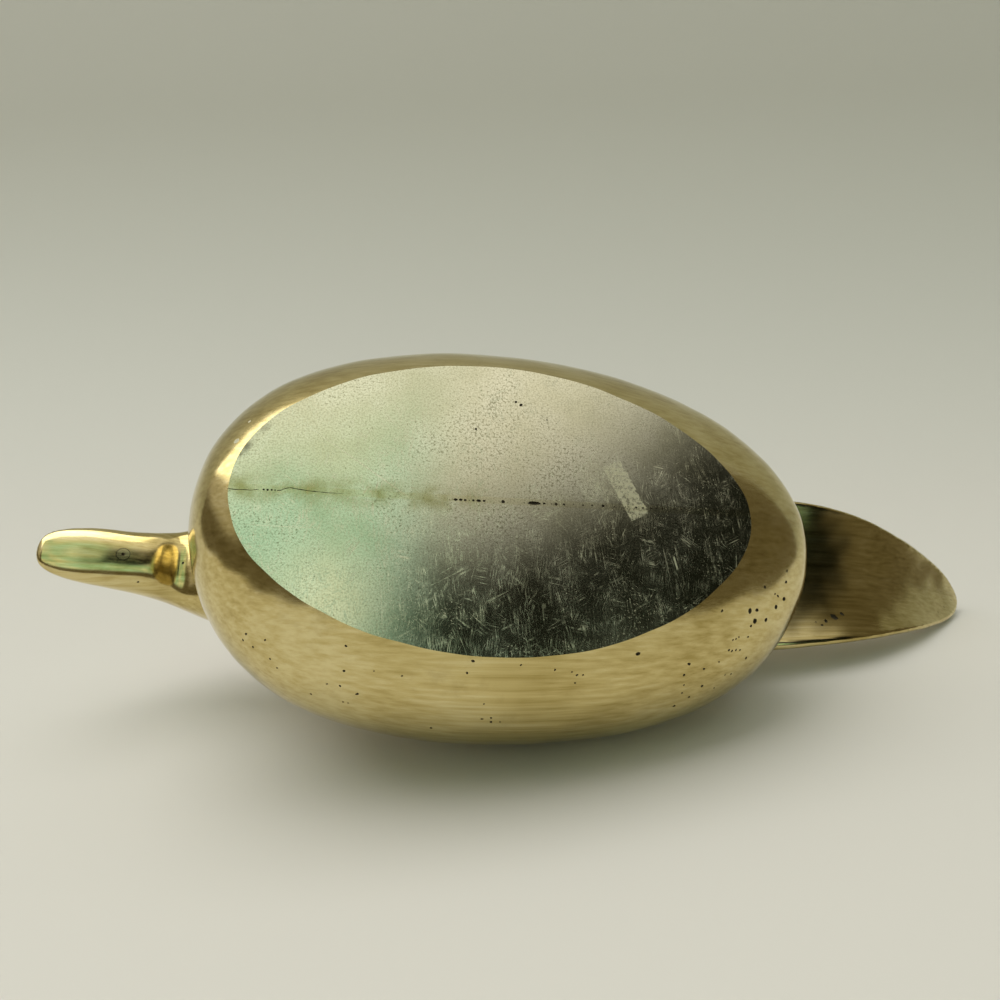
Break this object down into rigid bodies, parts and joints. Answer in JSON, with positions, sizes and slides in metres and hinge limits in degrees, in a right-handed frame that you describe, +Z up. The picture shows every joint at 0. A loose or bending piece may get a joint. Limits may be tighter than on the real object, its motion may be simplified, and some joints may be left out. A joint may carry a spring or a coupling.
{
  "type": "brass duck figurine",
  "caption": "Hollow cast brass duck with a low egg-shaped body, a forward-reaching head and a long upturned tail, resting on a flat ground underside.",
  "frame": {"origin": "middle of the flat ground underside, on the plane that the duck rests on", "axes": "+X towards the bill, +Y towards the duck's left side, +Z up"},
  "size_m": [0.2787, 0.0988, 0.0708],
  "materials": {
    "cast_brass": "polished, tarnished and scratched",
    "braze_metal": "ground flush, slightly darker, with pores",
    "plug_brass": "filed flush, polished"
  },
  "bodies": {
    "root": {"left_half": "cast_brass", "right_half": "cast_brass", "seam_bead": "braze_metal", "vent_plug": "plug_brass"}
  },
  "joints": []
}
